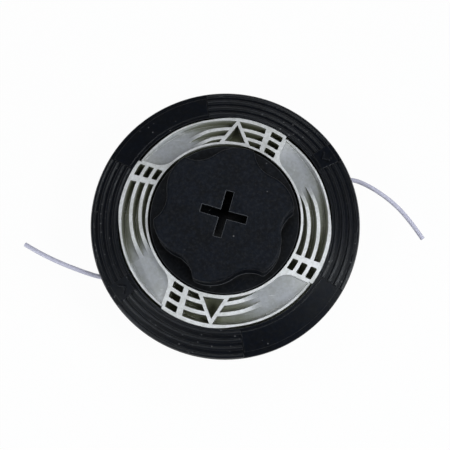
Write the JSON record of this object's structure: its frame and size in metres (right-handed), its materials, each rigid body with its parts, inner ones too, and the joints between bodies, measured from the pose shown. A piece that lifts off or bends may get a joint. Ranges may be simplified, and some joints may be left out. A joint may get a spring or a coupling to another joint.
{
  "type": "trimmer head",
  "caption": "Round bump-feed trimmer head with ridged cover, slotted wind ring with finger pockets, lobed bump knob, sprung spool inside and two free ends of cutting line.",
  "frame": {"origin": "centre of the seat against the gearbox, on the axis of rotation", "axes": "Z runs along the axis of rotation and points to the bump knob; X points to the right side of the picture"},
  "size_m": [0.2166, 0.14, 0.0865],
  "materials": {
    "black_nylon": "fine-grained moulded nylon, slightly dusty",
    "white_nylon": "satin moulded nylon, slightly translucent off-white",
    "zinc_steel": "zinc-plated steel",
    "eyelet_metal": "turned and polished",
    "spring_steel": "oiled spring wire",
    "cutting_line": "translucent monofilament nylon"
  },
  "bodies": {
    "housing": {"upper_housing": "black_nylon", "threaded_insert": "zinc_steel", "line_eyelet_right": "eyelet_metal", "line_eyelet_left": "eyelet_metal", "lower_cover": "black_nylon", "feed_spring": "spring_steel", "line_tail_right": "cutting_line", "line_tail_left": "cutting_line"},
    "spring_seat": {"thrust_washer": "zinc_steel"},
    "spool": {"line_spool": "black_nylon", "winding_lower": "cutting_line", "winding_upper": "cutting_line", "wind_ring": "white_nylon", "bump_knob": "black_nylon"}
  },
  "joints": [
    {"name": "bump_press", "type": "slide", "parent": "housing", "child": "spring_seat", "axis": [0, 0, -1], "range_m": [0, 0.008], "stiffness_N_per_m": 2500, "springref_m": -0.008, "deforming": ["feed_spring"]},
    {"name": "spool_turn", "type": "hinge", "parent": "spring_seat", "child": "spool", "pos_m": [0, 0, 0.05], "axis": [0, 0, 1], "continuous": true}
  ]
}
